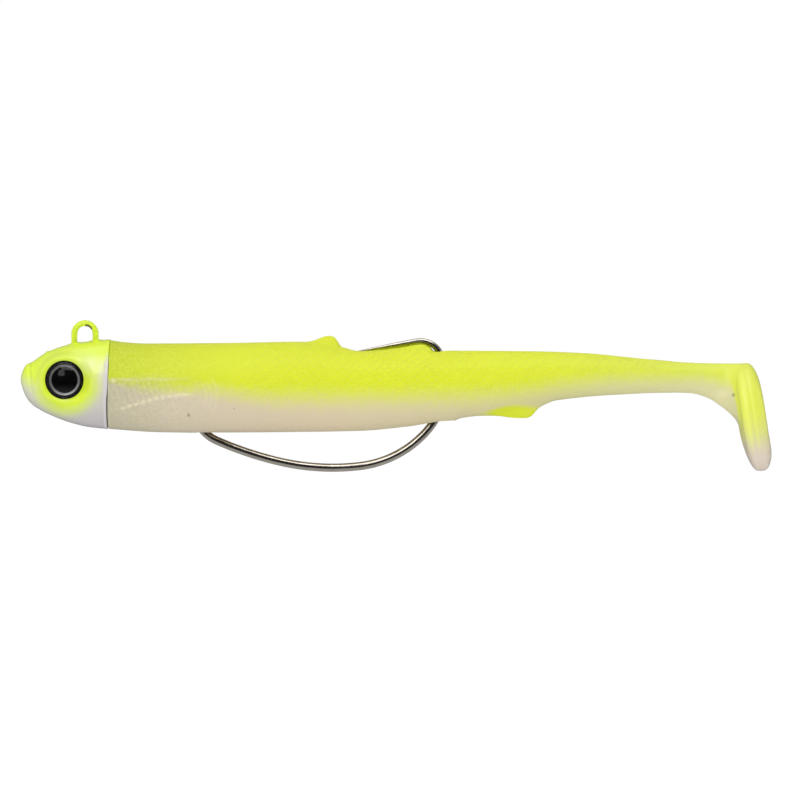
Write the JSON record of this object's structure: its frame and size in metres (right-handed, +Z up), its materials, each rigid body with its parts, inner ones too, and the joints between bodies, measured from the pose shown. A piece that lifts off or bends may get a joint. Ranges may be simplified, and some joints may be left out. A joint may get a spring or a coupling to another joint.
{
  "type": "swimbait",
  "caption": "Jointed weedless soft swimbait: painted eyed head hinged by a wire loop to a hook, with a slotted soft fish body, flexing tail and upright paddle.",
  "frame": {"origin": "centre of the line-tie loop on top of the head", "axes": "+X from the head to the tail, +Y to the fish's right side, +Z up (its back)"},
  "size_m": [0.1199, 0.0116, 0.0243],
  "materials": {
    "head_paint": "gloss",
    "stainless": "polished",
    "eye_foil": "satin",
    "clear_resin": "gloss",
    "black_nickel": "polished",
    "soft_chartreuse": "gloss"
  },
  "bodies": {
    "head": {"head_casting": "head_paint", "through_wire": "stainless", "eye_disc_left": "eye_foil", "eye_dome_left": "clear_resin", "eye_disc_right": "eye_foil", "eye_dome_right": "clear_resin", "body_collar": "soft_chartreuse"},
    "trunk": {"body_trunk": "soft_chartreuse"},
    "hook": {"hook": "black_nickel"},
    "tail_root": {"tail_root": "soft_chartreuse"},
    "tail_stem": {"tail_stem": "soft_chartreuse"},
    "paddle": {"tail_paddle": "soft_chartreuse"}
  },
  "joints": [
    {"name": "head_swing", "type": "hinge", "parent": "head", "child": "trunk", "pos_m": [0.0084, 0, -0.0081], "axis": [0, 0, 1], "range_deg": [-25, 25], "stiffness_Nm_per_rad": 0.02, "deforming": ["body_collar"]},
    {"name": "hook_set", "type": "hinge", "parent": "trunk", "child": "hook", "pos_m": [0.0084, 0, -0.0081], "axis": [0, -1, 0], "range_deg": [0, 4.5], "stiffness_Nm_per_rad": 0.05},
    {"name": "tail_bend", "type": "hinge", "parent": "trunk", "child": "tail_root", "pos_m": [0.076, 0, -0.007], "axis": [0, 0, 1], "range_deg": [-20, 20], "stiffness_Nm_per_rad": 0.0012},
    {"name": "tail_mid", "type": "hinge", "parent": "tail_root", "child": "tail_stem", "pos_m": [0.088, 0, -0.007], "axis": [0, 0, 1], "range_deg": [-20, 20], "stiffness_Nm_per_rad": 0.0004},
    {"name": "paddle_flap", "type": "hinge", "parent": "tail_stem", "child": "paddle", "pos_m": [0.1, 0, -0.0075], "axis": [0, 0, 1], "range_deg": [-40, 40], "stiffness_Nm_per_rad": 0.0002}
  ],
  "couplings": [
    {"joint": "tail_mid", "follows": "tail_bend", "ratio": 1}
  ]
}
